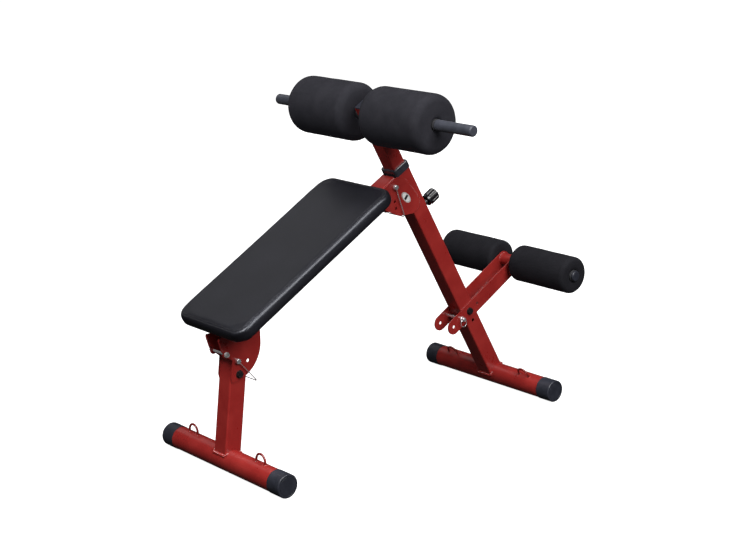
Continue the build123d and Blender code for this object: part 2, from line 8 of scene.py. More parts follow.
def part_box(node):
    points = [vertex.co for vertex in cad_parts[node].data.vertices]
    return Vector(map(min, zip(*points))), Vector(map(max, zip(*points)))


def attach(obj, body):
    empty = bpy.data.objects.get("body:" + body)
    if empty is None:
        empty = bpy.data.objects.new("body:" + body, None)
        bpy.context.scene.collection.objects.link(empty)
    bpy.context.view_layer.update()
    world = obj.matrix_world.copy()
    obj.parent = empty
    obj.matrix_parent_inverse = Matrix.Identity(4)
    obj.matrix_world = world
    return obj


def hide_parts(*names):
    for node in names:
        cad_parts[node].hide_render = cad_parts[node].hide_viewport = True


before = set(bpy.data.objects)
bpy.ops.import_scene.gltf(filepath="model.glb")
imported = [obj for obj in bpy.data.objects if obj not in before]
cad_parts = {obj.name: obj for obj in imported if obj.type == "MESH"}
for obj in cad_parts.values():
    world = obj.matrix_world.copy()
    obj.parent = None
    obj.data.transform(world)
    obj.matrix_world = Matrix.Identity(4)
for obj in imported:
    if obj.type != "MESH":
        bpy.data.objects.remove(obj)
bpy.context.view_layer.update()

# ---------------------------------------------------------------- frames of reference
MM = 0.001
LEAN = radians(28.6)
LEG_LEAN = radians(8.0)
ACROSS = Vector((1, 0, 0))
POST_UP = Vector((0, -sin(LEAN), cos(LEAN)))
POST_BACK = Vector((0, cos(LEAN), sin(LEAN)))
LEG_UP = Vector((0, sin(LEG_LEAN), cos(LEG_LEAN)))
LEG_BACK = Vector((0, cos(LEG_LEAN), -sin(LEG_LEAN)))
UP = Vector((0, 0, 1))


def middle(node):
    low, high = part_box(node)
    return (low + high) / 2


REAR_AXIS = middle("rear_foot_tube")
FRONT_AXIS = middle("front_foot_tube")
THIGH_AXIS = middle("thigh_bar")
ANKLE_AXIS = middle("ankle_bar")
SIDES = (("left", -1), ("right", 1))


def post_point(back, up, x=0.0):
    """A point square to the post and along it, in millimetres."""
    return REAR_AXIS + ACROSS * x * MM + POST_BACK * back * MM + POST_UP * up * MM


# ---------------------------------------------------------------- materials
class Finish:
    """One procedural material, built node by node."""

    def __init__(self, name, **sockets):
        self.material = bpy.data.materials.new(name)
        self.material.use_nodes = True
        self.tree = self.material.node_tree
        self.shader = self.tree.nodes["Principled BSDF"]
        self.place = self.node("ShaderNodeTexCoord").outputs["Object"]
        for socket, value in sockets.items():
            self.shader.inputs[socket.replace("_", " ")].default_value = value

    def node(self, kind, **settings):
        made = self.tree.nodes.new(kind)
        for key, value in settings.items():
            setattr(made, key, value)
        return made

    def plug(self, socket, value):
        """Link another node's output to a socket, or set the socket's own value."""
        if isinstance(value, bpy.types.NodeSocket):
            self.tree.links.new(value, socket)
        else:
            socket.default_value = value

    def feed(self, node, **values):
        for key, value in values.items():
            self.plug(node.inputs[key.replace("_", " ")], value)
        return node

    def mapped(self, scale=(1, 1, 1), turn=(0, 0, 0)):
        made = self.feed(self.node("ShaderNodeMapping"), Vector=self.place)
        made.inputs["Scale"].default_value = scale
        made.inputs["Rotation"].default_value = turn
        return made.outputs[0]

    def noise(self, scale, detail=3.0, rough=0.55, at=None, bend=0.0):
        made = self.feed(self.node("ShaderNodeTexNoise"), Vector=at or self.place, Scale=scale,
                         Detail=detail, Roughness=rough, Distortion=bend)
        return made.outputs[0]

    def cells(self, scale, feature="F1", at=None):
        made = self.node("ShaderNodeTexVoronoi", feature=feature)
        self.feed(made, Vector=at or self.place, Scale=scale)
        return made.outputs["Distance"]

    def span(self, value, low, high, to_low=0.0, to_high=1.0):
        made = self.node("ShaderNodeMapRange", interpolation_type="SMOOTHSTEP")
        for index, item in enumerate((value, low, high, to_low, to_high)):
            self.plug(made.inputs[index], item)
        return made.outputs[0]

    def math(self, a, b, kind="ADD"):
        made = self.node("ShaderNodeMath", operation=kind)
        for index, item in enumerate((a, b)):
            self.plug(made.inputs[index], item)
        return made.outputs[0]

    def mix(self, factor, a, b):
        made = self.node("ShaderNodeMix", data_type="RGBA")
        self.plug(made.inputs[0], factor)
        for index, tone in ((6, a), (7, b)):
            self.plug(made.inputs[index], tone if isinstance(tone, bpy.types.NodeSocket) else (*tone, 1.0))
        return made.outputs[2]

    def bump(self, height, depth, strength=1.0, normal=None):
        made = self.node("ShaderNodeBump")
        self.feed(made, Height=height, Strength=strength, Distance=depth)
        if normal is not None:
            self.feed(made, Normal=normal)
        return made.outputs[0]

    def soft_edge(self, radius):
        made = self.node("ShaderNodeBevel", samples=4)
        made.inputs["Radius"].default_value = radius
        return made.outputs[0]

    def done(self, colour=None, rough=None, normal=None):
        for socket, value in (("Base Color", colour), ("Roughness", rough), ("Normal", normal)):
            if value is not None:
                self.tree.links.new(value, self.shader.inputs[socket])
        return self.material


def red_paint(name="red_powder_coat", depth=1.0, coat=0.35):
    """Glossy red powder coat; depth scales its colours: below 1 a copy darkened as painted shade, above 1 a
    copy lightened as a painted highlight.
    """
    f = Finish(name, Coat_Weight=coat, Coat_Roughness=0.12, IOR=1.5)
    low, high, bright = ([d * depth for d in tone] for tone in
                         ((0.285, 0.018, 0.016), (0.345, 0.026, 0.022), (0.42, 0.06, 0.05)))
    cloud = f.noise(14.0, 4.0, 0.6)
    fleck = f.span(f.noise(900.0, 2.0), 0.58, 0.74)
    tone = f.mix(f.span(cloud, 0.35, 0.7), low, high)
    tone = f.mix(f.math(fleck, 0.25, "MULTIPLY"), tone, bright)
    scuff = f.span(f.noise(160.0, 4.0, 0.7, f.mapped((1, 1, 0.16))), 0.66, 0.78)
    tone = f.mix(f.math(scuff, 0.22, "MULTIPLY"), tone, (0.2, 0.012, 0.012))
    peel = f.noise(620.0, 2.0, 0.5)
    rough = f.span(cloud, 0.3, 0.75, 0.27, 0.36)
    normal = f.bump(f.math(f.noise(3200.0, 1.0), peel), 0.00006, 0.55, f.soft_edge(0.0007))
    return f.done(tone, rough, normal)


def moulded_black():
    f = Finish("moulded_black_plastic", IOR=1.5)
    grain = f.cells(1500.0)
    cloud = f.noise(30.0, 4.0)
    tone = f.mix(f.span(cloud, 0.35, 0.7), (0.021, 0.023, 0.032), (0.032, 0.034, 0.047))
    tone = f.mix(f.span(f.noise(700.0, 4.0, 0.7), 0.62, 0.72, 0.0, 0.35), tone, (0.075, 0.078, 0.092))
    rough = f.span(grain, 0.0, 0.6, 0.5, 0.36)
    normal = f.bump(grain, 0.00009, 0.6, f.soft_edge(0.0008))
    return f.done(tone, rough, normal)


def glossy_black(name, low, high):
    f = Finish(name, IOR=1.52, Coat_Weight=0.8, Coat_Roughness=0.1)
    cloud = f.noise(60.0, 4.0)
    tone = f.mix(f.span(cloud, 0.35, 0.7), low, high)
    fine = f.noise(1800.0, 3.0, 0.6)
    rough = f.span(fine, 0.3, 0.7, 0.2, 0.32)
    return f.done(tone, rough, f.bump(fine, 0.00004, 0.5, f.soft_edge(0.001)))


def black_oxide():
    f = Finish("black_oxide_steel", Metallic=0.75, IOR=1.5)
    cloud = f.noise(240.0, 4.0, 0.65)
    tone = f.mix(f.span(cloud, 0.35, 0.7), (0.03, 0.03, 0.034), (0.075, 0.07, 0.07))
    rough = f.span(cloud, 0.3, 0.7, 0.3, 0.45)
    turned = f.noise(1500.0, 2.0, 0.5, f.mapped((0.05, 1, 1)))
    return f.done(tone, rough, f.bump(turned, 0.00004, 0.5, f.soft_edge(0.0004)))


def badge_print():
    """A pale oval label with a thin dark ring and a dark bar."""
    half_wide, half_high = 0.0112, 0.021
    f = Finish("badge_print", Coat_Weight=0.6, Coat_Roughness=0.1)
    centre = middle("badge")
    about = f.node("ShaderNodeMapping", vector_type="POINT")
    f.feed(about, Vector=f.place)
    turn = LEAN + radians(18.0)
    about.inputs["Rotation"].default_value = (-turn, 0, 0)
    spun = Matrix.Rotation(-turn, 3, "X") @ centre
    about.inputs["Location"].default_value = (0, -spun.y, -spun.z)
    parts = f.feed(f.node("ShaderNodeSeparateXYZ"), Vector=about.outputs[0])
    across = f.math(f.math(parts.outputs[1], half_wide, "DIVIDE"), 2.0, "POWER")
    along = f.math(f.math(parts.outputs[2], half_high, "DIVIDE"), 2.0, "POWER")
    reach = f.math(across, along)
    rim = f.math(f.span(reach, 0.60, 0.63), f.span(reach, 0.71, 0.74), "SUBTRACT")
    band = f.span(f.math(parts.outputs[2], 0.0, "ABSOLUTE"), 0.0042, 0.0036)
    band = f.math(band, f.span(reach, 0.5, 0.46), "MULTIPLY")
    speck = f.noise(2600.0, 2.0)
    tone = f.mix(f.span(speck, 0.4, 0.7), (0.02, 0.02, 0.024), (0.032, 0.032, 0.037))
    pale = f.mix(f.span(speck, 0.4, 0.7), (0.72, 0.71, 0.69), (0.8, 0.79, 0.77))
    tone = f.mix(f.math(rim, band, "MAXIMUM"), pale, tone)
    tone = f.mix(f.span(reach, 0.84, 0.88), tone, (0.30, 0.02, 0.018))
    return f.done(tone, f.span(speck, 0.3, 0.7, 0.25, 0.4), f.bump(rim, 0.0001, 0.4))


def chrome():
    f = Finish("bright_chrome", Metallic=0.8)
    cloud = f.noise(90.0, 4.0)
    tone = f.mix(f.span(cloud, 0.35, 0.7), (0.82, 0.82, 0.84), (0.92, 0.92, 0.94))
    scratch = f.noise(420.0, 5.0, 0.75, f.mapped((0.2, 1, 1)))
    rough = f.span(scratch, 0.35, 0.75, 0.22, 0.36)
    return f.done(tone, rough, f.bump(scratch, 0.00002, 0.5, f.soft_edge(0.0004)))


def zinc():
    f = Finish("zinc_plate", Metallic=0.7)
    spangle = f.cells(260.0)
    tone = f.mix(f.span(spangle, 0.1, 0.8), (0.66, 0.67, 0.70), (0.84, 0.83, 0.80))
    fine = f.noise(1300.0, 4.0, 0.6)
    rough = f.span(fine, 0.3, 0.7, 0.24, 0.42)
    return f.done(tone, rough, f.bump(fine, 0.00004, 0.6, f.soft_edge(0.0004)))


def black_steel():
    f = Finish("black_lacquered_steel", Coat_Weight=0.2, Coat_Roughness=0.2)
    cloud = f.noise(60.0, 4.0)
    tone = f.mix(f.span(cloud, 0.35, 0.7), (0.022, 0.022, 0.027), (0.04, 0.039, 0.044))
    peel = f.noise(800.0, 3.0)
    rough = f.span(cloud, 0.3, 0.7, 0.3, 0.42)
    return f.done(tone, rough, f.bump(peel, 0.00005, 0.5, f.soft_edge(0.0005)))


def grip_rubber():
    f = Finish("grip_rubber", IOR=1.5, Sheen_Weight=0.08)
    cloud = f.noise(45.0, 4.0)
    tone = f.mix(f.span(cloud, 0.35, 0.7), (0.034, 0.037, 0.05), (0.05, 0.053, 0.07))
    drawn = f.noise(500.0, 3.0, 0.6, f.mapped((0.04, 1, 1)))
    rough = f.span(drawn, 0.3, 0.7, 0.33, 0.46)
    return f.done(tone, rough, f.bump(f.math(drawn, f.noise(2600.0, 2.0)), 0.00007, 0.6))


def foam(name="closed_cell_foam", depth=1.0):
    """Dark foam with fine pores; depth below 1 gives a darker copy, which paints shade.

    The faint glow stands in for light that the pale floor throws on the undersides.
    """
    f = Finish(name, IOR=1.25, Roughness=0.9, Emission_Color=(0.8, 0.78, 1.0, 1.0),
               Emission_Strength=0.004 * depth)
    low, high, bright = ([d * depth for d in tone] for tone in
                         ((0.0150, 0.0148, 0.0190), (0.0215, 0.0210, 0.0262), (0.040, 0.039, 0.048)))
    cell = f.cells(620.0)
    fine = f.cells(1700.0)
    patch = f.noise(22.0, 4.0, 0.6)
    tone = f.mix(f.span(patch, 0.3, 0.75), low, high)
    pits = f.math(f.span(cell, 0.30, 0.05), f.span(f.noise(150.0, 2.0), 0.38, 0.6), "MULTIPLY")
    # The pores are darkened towards near black: painted shade in the pits, which the bump also sinks.
    tone = f.mix(f.math(pits, 0.7, "MULTIPLY"), tone, (0.005, 0.005, 0.006))
    tone = f.mix(f.span(fine, 0.6, 0.9, 0.0, 0.35), tone, bright)
    height = f.math(f.math(pits, -1.0, "MULTIPLY"), f.math(fine, 0.5, "MULTIPLY"))
    rough = f.span(fine, 0.0, 0.8, 0.95, 0.78)
    return f.done(tone, rough, f.bump(height, 0.0004, 0.8))


def core_plastic():
    f = Finish("extruded_core", IOR=1.5)
    drawn = f.noise(400.0, 3.0, 0.6, f.mapped((0.05, 1, 1)))
    tone = f.mix(drawn, (0.04, 0.04, 0.045), (0.06, 0.06, 0.065))
    return f.done(tone, f.span(drawn, 0.3, 0.7, 0.4, 0.6), f.bump(drawn, 0.00006, 0.5))


def plywood():
    f = Finish("birch_plywood", IOR=1.45)
    veneer = 0.0034
    along = (-LEAN, 0, 0)
    parts = f.feed(f.node("ShaderNodeSeparateXYZ"), Vector=f.mapped((1, 1, 1), along))
    ply = f.math(f.math(parts.outputs[2], veneer, "DIVIDE"), 1.0, "FRACT")
    dark = f.math(f.span(ply, 0.42, 0.5), f.span(ply, 0.92, 1.0), "SUBTRACT")
    grain = f.noise(60.0, 6.0, 0.65, f.mapped((1.0, 0.07, 1.0), along), 0.6)
    tone = f.mix(f.span(grain, 0.3, 0.72), (0.50, 0.33, 0.17), (0.68, 0.50, 0.30))
    tone = f.mix(f.math(dark, 0.5, "MULTIPLY"), tone, (0.26, 0.15, 0.07))
    fibre = f.noise(900.0, 4.0, 0.7, f.mapped((1.0, 0.05, 1.0), along))
    return f.done(tone, f.span(fibre, 0.3, 0.7, 0.55, 0.75), f.bump(fibre, 0.00015, 0.7))


def vinyl():
    f = Finish("black_grained_vinyl", IOR=1.52, Coat_Weight=0.25, Coat_Roughness=0.22,
               Specular_Tint=(0.84, 0.88, 1.0, 1.0))
    bend = f.feed(f.node("ShaderNodeTexNoise"), Vector=f.place, Scale=160.0, Detail=2.0).outputs["Color"]
    warp = f.node("ShaderNodeMix", data_type="VECTOR")
    f.tree.links.new(f.place, warp.inputs[4])
    f.tree.links.new(bend, warp.inputs[5])
    warp.inputs[0].default_value = 0.0012
    leather = f.cells(560.0, "DISTANCE_TO_EDGE", warp.outputs[1])
    crease = f.span(leather, 0.0, 0.12)
    fine = f.noise(1900.0, 3.0, 0.6)
    patch = f.noise(9.0, 3.0, 0.5)
    tone = f.mix(f.span(patch, 0.35, 0.7), (0.0080, 0.0078, 0.0110), (0.0110, 0.0108, 0.0150))
    # The grain's creases are darkened: painted shade in the recesses, which the bump also sinks.
    tone = f.mix(crease, (0.005, 0.005, 0.006), tone)
    rough = f.span(fine, 0.3, 0.7, 0.30, 0.40)
    height = f.math(crease, f.math(fine, 0.3, "MULTIPLY"))
    return f.done(tone, rough, f.bump(height, 0.00014, 0.45))


def thread():
    f = Finish("black_thread", Roughness=0.7, Sheen_Weight=0.3)
    twist = f.noise(1800.0, 3.0, 0.6, f.mapped((1, 1, 0.3)))
    tone = f.mix(twist, (0.02, 0.02, 0.024), (0.07, 0.07, 0.08))
    return f.done(tone, None, f.bump(twist, 0.0002, 0.8))


FINISHES = {
    "red_paint": red_paint(), "black_plastic": moulded_black(), "black_bolt": black_oxide(),
    "badge_print": badge_print(), "chrome": chrome(), "black_steel": black_steel(),
    "grip_rubber": grip_rubber(), "foam": foam(), "core_plastic": core_plastic(),
    "zinc": zinc(), "plywood": plywood(), "vinyl": vinyl(),
}
THREAD = thread()

# The band hooks get the frame's red paint darkened to 0.72: painted shade on the small wire hooks.
SHADED_RED = red_paint("red_powder_coat_painted_shade", 0.72)
# The weld beads get a copy with a full clear coat, and its colour lifted 5% as a painted highlight on the
# beads.
WELD_RED = red_paint("weld_red_powder_coat", 1.05, 1.0)
# The ankle rollers get the foam darkened to 0.6, with a fainter glow: painted shade on the ankle rollers.
SHADED_FOAM = foam("closed_cell_foam_dark", 0.6)
SPECIAL = {
    "height_knob": glossy_black("polished_black_knob", (0.005, 0.005, 0.007), (0.010, 0.011, 0.015)),
    "post_collar": glossy_black("polished_grey_collar", (0.030, 0.032, 0.042), (0.044, 0.047, 0.060)),
}
SPECIAL.update({f"{end}_band_hook_{side}": SHADED_RED for end in ("front", "rear") for side, sign in SIDES})

for name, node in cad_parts.items():
    for index, place in enumerate(node.material_slots):
        slot_name = place.material.name.split(".")[0]
        if slot_name in FINISHES:
            node.material_slots[index].material = SPECIAL.get(name, FINISHES[slot_name])


# ---------------------------------------------------------------- mesh helpers
def piece(name, points, faces, body, slot_name, finish=None):
    """A mesh object in the row frame that rides on a body."""
    mesh = bpy.data.meshes.new(name)
    mesh.from_pydata([tuple(p) for p in points], [], faces)
    mesh.update()
    made = bpy.data.objects.new(name, mesh)
    bpy.context.scene.collection.objects.link(made)
    return settle(made, body, slot_name, finish)


def settle(made, body, slot_name, finish=None):
    """Give a mesh object its material, and let it ride on its body."""
    made.data.materials.clear()
    made.data.materials.append(finish or FINISHES[slot_name])
    made.data.polygons.foreach_set("use_smooth", [True] * len(made.data.polygons))
    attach(made, body)
    return made


def merged(parts):
    """Several lists of points and faces as one."""
    points, faces = [], []
    for more, quads in parts:
        faces += [tuple(v + len(points) for v in quad) for quad in quads]
        points += more
    return points, faces


def circle(centre, side, lift, radius, count):
    """Points about a centre; the radius is in millimetres."""
    return [centre + (side * cos(2 * pi * k / count) + lift * sin(2 * pi * k / count)) * radius * MM
            for k in range(count)]


def ring_faces(rings, sides, closed_along=False):
    """Quads that join rings of points, with flat ends unless the rings close on themselves."""
    faces = []
    for i in range(rings if closed_along else rings - 1):
        j = (i + 1) % rings
        for k in range(sides):
            m = (k + 1) % sides
            faces.append((i * sides + k, i * sides + m, j * sides + m, j * sides + k))
    if not closed_along:
        faces.append(tuple(range(sides))[::-1])
        faces.append(tuple((rings - 1) * sides + k for k in range(sides)))
    return faces


def along_path(points, step, closed):
    """The path divided into steps of equal length."""
    stops = list(points) + ([points[0]] if closed else [])
    lengths = [(b - a).length for a, b in zip(stops, stops[1:])]
    total = sum(lengths)
    count = max(2, round(total / step))
    made, i, passed = [], 0, 0.0
    for k in range(count if closed else count + 1):
        goal = total * k / count
        while i < len(lengths) - 1 and passed + lengths[i] < goal:
            passed += lengths[i]
            i += 1
        part = (goal - passed) / lengths[i] if lengths[i] else 0
        made.append(stops[i].lerp(stops[i + 1], min(1, part)))
    return made


BEAD_SIDES = 8
RIPPLE_PITCH = 3.4
RIPPLE_STEPS = 6


def bead(points, radius, closed, seed):
    """A weld bead: overlapping ripples along a path. Returns its points and faces."""
    path = along_path(points, RIPPLE_PITCH * MM / RIPPLE_STEPS, closed)
    count = len(path)
    rings = []
    for i, here in enumerate(path):
        before = path[i - 1] if closed or i else path[0]
        after = path[(i + 1) % count] if closed or i < count - 1 else path[-1]
        way = (after - before).normalized()
        side = way.cross(UP if abs(way.z) < 0.9 else ACROSS).normalized()
        phase = (i % RIPPLE_STEPS) / RIPPLE_STEPS
        wobble = noise.noise(here * 900 + Vector((seed, 0, 0)))
        size = radius * (0.8 + 0.34 * sin(pi * phase) + 0.12 * wobble)
        if not closed:
            size *= min(1, 0.35 + 3 * min(i, count - 1 - i) / count * 2)
        rings += circle(here, side, side.cross(way), size, BEAD_SIDES)
    return rings, ring_faces(count, BEAD_SIDES, closed)


def weld(name, paths, body, radius, closed=True):
    """Weld beads along one or more paths, as one piece."""
    points, faces = merged(bead(path, radius, closed, index * 3) for index, path in enumerate(paths))
    return piece(name, points, faces, body, "red_paint", WELD_RED)


def rounded_square(width, depth, corner, steps=5):
    """Outline of a rounded rectangle, in millimetres, as pairs."""
    made = []
    for cx, cy, start in ((1, 1, 0), (-1, 1, 90), (-1, -1, 180), (1, -1, 270)):
        for k in range(steps + 1):
            a = radians(start + 90 * k / steps)
            made.append((cx * (width / 2 - corner) + corner * cos(a),
                         cy * (depth / 2 - corner) + corner * sin(a)))
    return made


# ---------------------------------------------------------------- welds
FOOT_R = 30.0
POST_SEAT, LEG_SEAT, SEAT_CORNER = 53.3, 52.1, 4.5
HOOK_HALF, HOOK_WIRE_R = 18.0, 3.6
EAR_SIDE, PLATE_SIDE, SLIDE_SIDE, LEVER_SIDE = 26.2, 26.0, 22.6, 24.9
THIGH_BAR_R, SLEEVE_R = 13.2, 17.6


def tube_on_foot(axis, back, up, size):
    """Where a square tube meets a round foot that it stands on."""
    made = []
    for x, n in rounded_square(size, size, SEAT_CORNER):
        rise = sqrt(max(0.0, (FOOT_R + 0.6) ** 2 - n * n))
        made.append(axis + ACROSS * x * MM + back * n * MM + up * rise * MM)
    return made


def both_sides(pairs, half, point):
    """A path in a side view, on the left and on the right."""
    return [[point(back, up, half * sign) for back, up in pairs] for side, sign in SIDES]


def front_point(back, height, x):
    """A point behind the front foot's axis, at a height above the floor."""
    return Vector((x * MM, FRONT_AXIS.y + back * MM, height * MM))


def ring_about(centre, normal, radius):
    """A circle square to a direction."""
    side = normal.cross(UP if abs(normal.z) < 0.9 else ACROSS).normalized()
    return circle(centre, side, normal.cross(side), radius, 24)


def ring_pair(axis, half, radius):
    """Circles about a cross bar, on the left and on the right."""
    return [ring_about(axis + ACROSS * half * sign * MM, ACROSS, radius) for side, sign in SIDES]


def hook_feet(node, axis):
    """Circles where the two legs of a wire hook meet the foot tube."""
    centre = middle(node)
    out = Vector((0, centre.y - axis.y, centre.z - axis.z)).normalized()
    return [ring_about(Vector((centre.x + HOOK_HALF * step * MM, axis.y, axis.z)) + out * (FOOT_R - 0.1) * MM,
                       out, HOOK_WIRE_R) for step in (-1, 1)]


ear_edge = [(-25, 624.6), (-14, 625.6), (-4, 628.6), (4, 635), (9.6, 648), (6.4, 672), (2.6, 696), (-7, 730)]
plate_edge = [(-26.2, 362.0), (-20.5, 342), (-14.4, 322)]
web_seam = [(27.4, 226.4), (140.0, 226.4)]
weld("weld_post_foot", [tube_on_foot(REAR_AXIS, POST_BACK, POST_UP, POST_SEAT)], "main_frame", 3.8)
weld("weld_leg_foot", [tube_on_foot(FRONT_AXIS, LEG_BACK, LEG_UP, LEG_SEAT)], "front_leg", 3.8)
weld("weld_ears", both_sides(ear_edge, EAR_SIDE, post_point), "main_frame", 2.4, False)
weld("weld_plates", both_sides(plate_edge, PLATE_SIDE, front_point), "board", 2.6, False)
for end, axis, body in (("front", FRONT_AXIS, "front_leg"), ("rear", REAR_AXIS, "main_frame")):
    rings = hook_feet(end + "_band_hook_left", axis) + hook_feet(end + "_band_hook_right", axis)
    weld("weld_hooks_" + end, rings, body, 1.2)
weld("weld_thigh_bar", ring_pair(THIGH_AXIS, SLIDE_SIDE, THIGH_BAR_R), "height_slide", 1.5)
weld("weld_lever_web", both_sides(web_seam, LEVER_SIDE, post_point), "ankle_lever", 1.6, False)
weld("weld_lever_sleeve", ring_pair(ANKLE_AXIS, LEVER_SIDE, SLEEVE_R), "ankle_lever", 1.5)

# ---------------------------------------------------------------- rollers
BORE_R = 15.6
DISH_DEPTH, DISH_WIDTH, DISH_LIP = 6.0, 12.0, 1.0
END_BULGE = 0.4
ROLLER_SIDES = 128


def roller_profile(half, radius, corner):
    """Pairs of distance along the bar and radius, from one end's bore to the other's."""
    flat_to = radius - corner
    dish_to = BORE_R + DISH_WIDTH
    profile = [(half - DISH_DEPTH, BORE_R)]
    for k in range(1, 7):
        a = pi / 2 * k / 6
        profile.append((half - DISH_DEPTH + DISH_DEPTH * sin(a),
                        BORE_R + DISH_LIP + (DISH_WIDTH - DISH_LIP) * (1 - cos(a))))
    for k in range(1, 9):
        profile.append((half + END_BULGE * sin(pi * k / 9), dish_to + (flat_to - dish_to) * k / 9))
    for k in range(13):
        a = pi / 2 * k / 12
        profile.append((half - corner + corner * cos(a), flat_to + corner * sin(a)))
    profile += [((half - corner) * (1 - k / 14), radius) for k in range(1, 15)]
    return profile + [(-x, r) for x, r in reversed(profile[:-1])]


def roller(node, axis, corner, seed, finish):
    """A foam sleeve on its bar: rounded shoulders and an end that sinks towards the bar."""
    low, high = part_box(node)
    half, radius = (high.x - low.x) / 2 / MM, (high.z - low.z) / 2 / MM
    centre = axis + ACROSS * (low.x + high.x) / 2
    profile = roller_profile(half, radius, corner)
    points = []
    for x, r in profile:
        for k in range(ROLLER_SIDES):
            a = 2 * pi * k / ROLLER_SIDES
            out = Vector((0, cos(a), sin(a)))
            at = centre + ACROSS * x * MM + out * r * MM
            depth = min(1.0, max(0.0, (r - BORE_R) / 20))
            dent = noise.noise(at * 26 + Vector((seed, 0, 0))) * 0.5 + noise.noise(at * 120) * 0.12
            outward = 1 if x > 0 else -1
            points.append(at + out * dent * depth * MM + ACROSS * (0.3 * dent * outward) * MM)
    faces = ring_faces(len(profile), ROLLER_SIDES, closed_along=True)
    made = piece("foam_" + node, points, faces, node, "foam", finish)
    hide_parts(node)


for side, sign in SIDES:
    roller("thigh_roller_" + side, THIGH_AXIS, 22.0, 3 + sign, FINISHES["foam"])
    roller("ankle_roller_" + side, ANKLE_AXIS, 12.0, 9 + sign, SHADED_FOAM)

# ---------------------------------------------------------------- pad
PAD_FRONT, PAD_BACK, PAD_HALF, PAD_CORNER = -706.0, -119.0, 138.0, 42.0
PLY_LOW, PLY_HIGH, PLY_INSET, PAD_HIGH = 757.0, 772.0, 24.0, 802.0
PAD_LOW = PLY_HIGH - 3.0
PAD_MID = (PAD_FRONT + PAD_BACK) / 2
PAD_LENGTH = PAD_BACK - PAD_FRONT
PAD_TURN = Matrix((ACROSS, POST_BACK, POST_UP)).transposed().to_4x4()
PAD_PLACE = Matrix.Translation(post_point(PAD_MID, 0)) @ PAD_TURN
SHRINK = 1.2
SEAM_INSET, SEAM_DEPTH, SEAM_WIDTH = 12.0, 0.6, 2.8
VOXEL = 0.0045
CLOTH_FRAMES, SMOOTHING_ROUNDS, MOST_BULGE = 16, 14, 2.2
GLUED_HEIGHT, GLUE_FADE = 6.0, 8.0


def outline(inset, steps=8):
    """The pad's plan, moved inwards, in its own millimetres."""
    corner = max(1.0, PAD_CORNER - inset)
    return rounded_square(2 * (PAD_HALF - inset), PAD_LENGTH - 2 * inset, corner, steps)


def quarter(steps, start=0):
    """Sines and cosines over a quarter turn."""
    return [(sin(pi / 2 * k / steps), cos(pi / 2 * k / steps)) for k in range(start, steps + 1)]


def slab():
    """The cushion before it is inflated: rolled upper edge, tighter lower edge."""
    top, roll, under, seat = PAD_HIGH - SHRINK, 9.0, 4.0, PLY_INSET - SHRINK
    side_low, side_high = PAD_LOW + under, top - roll
    levels = [(PLY_HIGH + 0.3, seat + 4.0), (PLY_HIGH + 0.3, seat - 1.0), (PAD_LOW, seat - 3.5)]
    levels += [(PAD_LOW + under * (1 - c), under * (1 - s)) for s, c in quarter(5)]
    levels += [(side_low + (side_high - side_low) * k / 4, 0.0) for k in range(1, 5)]
    levels += [(side_high + roll * s, roll * (1 - c)) for s, c in quarter(6, 1)]
    points = []
    for z, inset in levels:
        points += [(x, y, z) for x, y in outline(inset + SHRINK)]
    return points, ring_faces(len(levels), len(points) // len(levels))


def apply_modifiers(obj):
    """Keep the mesh that the object's modifiers make."""
    graph = bpy.context.evaluated_depsgraph_get()
    fresh = bpy.data.meshes.new_from_object(obj.evaluated_get(graph))
    old, obj.data = obj.data, fresh
    bpy.data.meshes.remove(old)
    obj.modifiers.clear()


def edge_distance(x, y):
    """How far inside the pad's plan a place is, in millimetres."""
    dx = abs(x) - (PAD_HALF - PAD_CORNER)
    dy = abs(y) - (PAD_LENGTH / 2 - PAD_CORNER)
    outside = sqrt(max(dx, 0.0) ** 2 + max(dy, 0.0) ** 2)
    return PAD_CORNER - outside - min(max(dx, dy), 0.0)


def inflate(obj):
    """Blow the cover up as cloth under pressure, then smooth and cap how far it moved."""
    pins = obj.vertex_groups.new(name="glued")
    for v in obj.data.vertices:
        above = v.co.z / MM - (PAD_LOW + GLUED_HEIGHT)
        pins.add([v.index], 1.0 if above < 0 else max(0.0, 1 - above / GLUE_FADE), "REPLACE")
    cloth = obj.modifiers.new("cover", "CLOTH")
    cloth.settings.use_pressure = True
    cloth.settings.uniform_pressure_force = 3.0
    cloth.settings.tension_stiffness = 40
    cloth.settings.compression_stiffness = 40
    cloth.settings.bending_stiffness = 8
    cloth.settings.vertex_group_mass = "glued"
    cloth.settings.effector_weights.gravity = 0
    cloth.point_cache.frame_start, cloth.point_cache.frame_end = 1, CLOTH_FRAMES
    rest = [v.co.copy() for v in obj.data.vertices]
    for step in range(1, CLOTH_FRAMES + 1):
        bpy.context.scene.frame_set(step)
    apply_modifiers(obj)
    bpy.context.scene.frame_set(1)
    moves = [v.co - was for v, was in zip(obj.data.vertices, rest)]
    near = [[] for v in rest]
    for a, b in (edge.vertices for edge in obj.data.edges):
        near[a].append(b)
        near[b].append(a)
    for _ in range(SMOOTHING_ROUNDS):
        moves = [(move + sum((moves[k] for k in near[i]), Vector())) / (1 + len(near[i]))
                 for i, move in enumerate(moves)]
    limit = MOST_BULGE * MM
    for v, was, move in zip(obj.data.vertices, rest, moves):
        v.co = was + (move if move.length < limit else move * (limit / move.length))
    obj.vertex_groups.clear()


